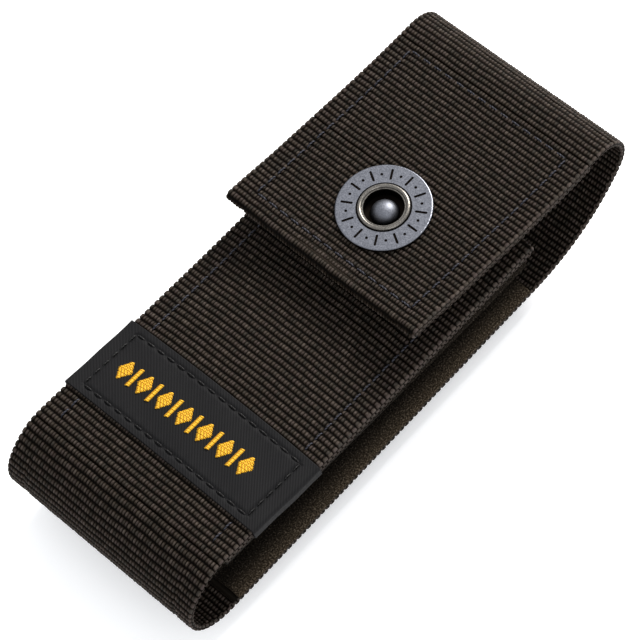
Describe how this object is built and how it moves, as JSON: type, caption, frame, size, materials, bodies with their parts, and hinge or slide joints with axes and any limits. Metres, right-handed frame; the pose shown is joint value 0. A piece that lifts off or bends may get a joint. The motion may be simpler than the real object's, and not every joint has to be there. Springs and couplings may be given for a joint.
{
  "type": "belt sheath",
  "caption": "Webbing belt sheath for a folding hand tool, with elastic side gussets, a fold-over flap held by a ring-capped press stud, and a belt loop behind.",
  "frame": {"origin": "centre of the bounding box's base, on the plane that the belt loop lies on", "axes": "+X across the webbing, +Y towards the top fold, +Z out of the front panel and flap"},
  "size_m": [0.051, 0.1284, 0.0327],
  "materials": {
    "webbing": "coarse ribbed black nylon webbing",
    "elastic": "fuzzy black elastic",
    "label": "fine dark twill with a gold embroidered border",
    "thread": "thin black nylon thread",
    "nickel": "antique nickel",
    "eyelet": "worn nickel plate over brass"
  },
  "bodies": {
    "sheath": {"back_panel": "webbing", "bottom_fold": "webbing", "front_panel": "webbing", "front_lining": "webbing", "gusset_right": "elastic", "gusset_left": "elastic", "belt_loop": "webbing", "label": "label", "snap_stud": "nickel", "snap_post": "nickel", "stitches_front": "thread", "stitches_back": "thread", "stitches_mouth": "thread", "stitches_label": "thread", "stitches_loop": "thread"},
    "rise": {"back_rise": "webbing"},
    "fold_a": {"fold_lower": "webbing"},
    "fold_b": {"fold_upper": "webbing"},
    "flap": {"flap_outer": "webbing", "flap_lining": "webbing", "snap_cap": "nickel", "snap_eyelet": "eyelet", "snap_dome": "nickel", "snap_socket": "nickel", "snap_spring": "nickel", "stitches_flap": "thread"}
  },
  "joints": [
    {"name": "back_flex", "type": "hinge", "parent": "sheath", "child": "rise", "pos_m": [0, 0.05049, 0.01004], "axis": [-1, 0, 0], "range_deg": [0, 42.5], "deforming": ["snap_spring"]},
    {"name": "fold_flex_low", "type": "hinge", "parent": "rise", "child": "fold_a", "pos_m": [0, 0.06337, 0.02194], "axis": [-1, 0, 0], "range_deg": [0, 42.5]},
    {"name": "fold_flex_mid", "type": "hinge", "parent": "fold_a", "child": "fold_b", "pos_m": [0, 0.06293, 0.02699], "axis": [-1, 0, 0], "range_deg": [0, 42.5]},
    {"name": "fold_flex_top", "type": "hinge", "parent": "fold_b", "child": "flap", "pos_m": [0, 0.05919, 0.03042], "axis": [-1, 0, 0], "range_deg": [0, 42.5]}
  ],
  "couplings": [
    {"joint": "fold_flex_low", "follows": "back_flex", "ratio": 1},
    {"joint": "fold_flex_mid", "follows": "back_flex", "ratio": 1},
    {"joint": "fold_flex_top", "follows": "back_flex", "ratio": 1}
  ]
}
